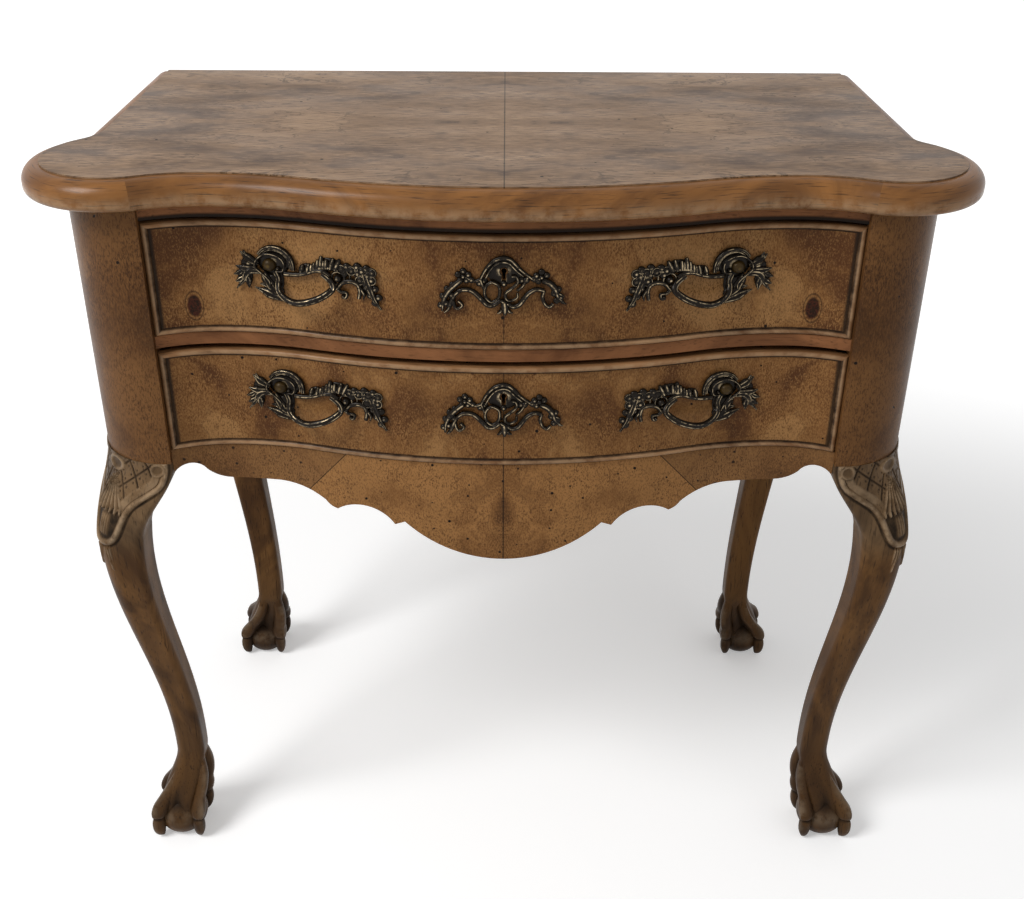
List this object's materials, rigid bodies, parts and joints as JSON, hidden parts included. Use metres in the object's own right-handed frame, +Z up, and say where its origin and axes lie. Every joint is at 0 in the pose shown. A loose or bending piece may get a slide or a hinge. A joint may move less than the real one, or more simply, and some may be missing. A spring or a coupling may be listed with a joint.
{
  "type": "chest of drawers",
  "caption": "Walnut serpentine-front chest of drawers on tall cabriole legs with claw-and-ball feet, rococo brass pulls and escutcheons, and locks; the drawers slide out to the front.",
  "frame": {"origin": "on the floor under the middle of the top's outline", "axes": "+Z up, +X to the right as seen from the front, drawers open towards -Y"},
  "size_m": [0.888, 0.4639, 0.8],
  "materials": {
    "walnut_veneer": "figured walnut veneer, worn wax polish",
    "walnut": "solid walnut, waxed",
    "oak": "plain oak, unpolished",
    "brass": "dark patinated cast brass, bright on worn edges",
    "iron": "blackened iron"
  },
  "bodies": {
    "carcass": {"top_panel": "walnut_veneer", "top_moulding_front": "walnut", "top_moulding_left": "walnut", "top_moulding_right": "walnut", "side_panel_left": "walnut_veneer", "side_panel_right": "walnut_veneer", "front_post_left": "walnut_veneer", "front_post_right": "walnut_veneer", "rear_post_left": "oak", "rear_post_right": "oak", "back_panel": "oak", "top_rail_front": "walnut_veneer", "top_rail_rear": "oak", "divider_rail": "walnut_veneer", "bottom_rail": "oak", "apron": "walnut_veneer", "upper_runner_left": "oak", "upper_runner_right": "oak", "lower_runner_left": "oak", "lower_runner_right": "oak", "kicker_left": "oak", "kicker_right": "oak", "front_leg_left": "walnut", "front_leg_right": "walnut", "rear_leg_left": "walnut", "rear_leg_right": "walnut", "upper_drawer_stops": "oak", "lower_drawer_stops": "oak"},
    "upper_drawer": {"upper_drawer_front": "walnut_veneer", "upper_bead_top": "walnut", "upper_bead_bottom": "walnut", "upper_bead_left": "walnut", "upper_bead_right": "walnut", "upper_drawer_side_left": "oak", "upper_drawer_side_right": "oak", "upper_drawer_back": "oak", "upper_drawer_bottom": "oak", "upper_pull_left": "brass", "upper_pull_right": "brass", "upper_pull_nuts": "iron", "upper_escutcheon": "brass", "upper_lock_case": "iron"},
    "lower_drawer": {"lower_drawer_front": "walnut_veneer", "lower_bead_top": "walnut", "lower_bead_bottom": "walnut", "lower_bead_left": "walnut", "lower_bead_right": "walnut", "lower_drawer_side_left": "oak", "lower_drawer_side_right": "oak", "lower_drawer_back": "oak", "lower_drawer_bottom": "oak", "lower_pull_left": "brass", "lower_pull_right": "brass", "lower_pull_nuts": "iron", "lower_escutcheon": "brass", "lower_lock_case": "iron"},
    "upper_bolt": {"upper_lock_bolt": "iron"},
    "lower_bolt": {"lower_lock_bolt": "iron"}
  },
  "joints": [
    {"name": "upper_drawer_slide", "type": "slide", "parent": "carcass", "child": "upper_drawer", "axis": [0, -1, 0], "range_m": [0, 0.28]},
    {"name": "lower_drawer_slide", "type": "slide", "parent": "carcass", "child": "lower_drawer", "axis": [0, -1, 0], "range_m": [0, 0.28]},
    {"name": "upper_bolt_throw", "type": "slide", "parent": "upper_drawer", "child": "upper_bolt", "axis": [0, 0, 1], "range_m": [0, 0.01]},
    {"name": "lower_bolt_throw", "type": "slide", "parent": "lower_drawer", "child": "lower_bolt", "axis": [0, 0, 1], "range_m": [0, 0.01]}
  ]
}
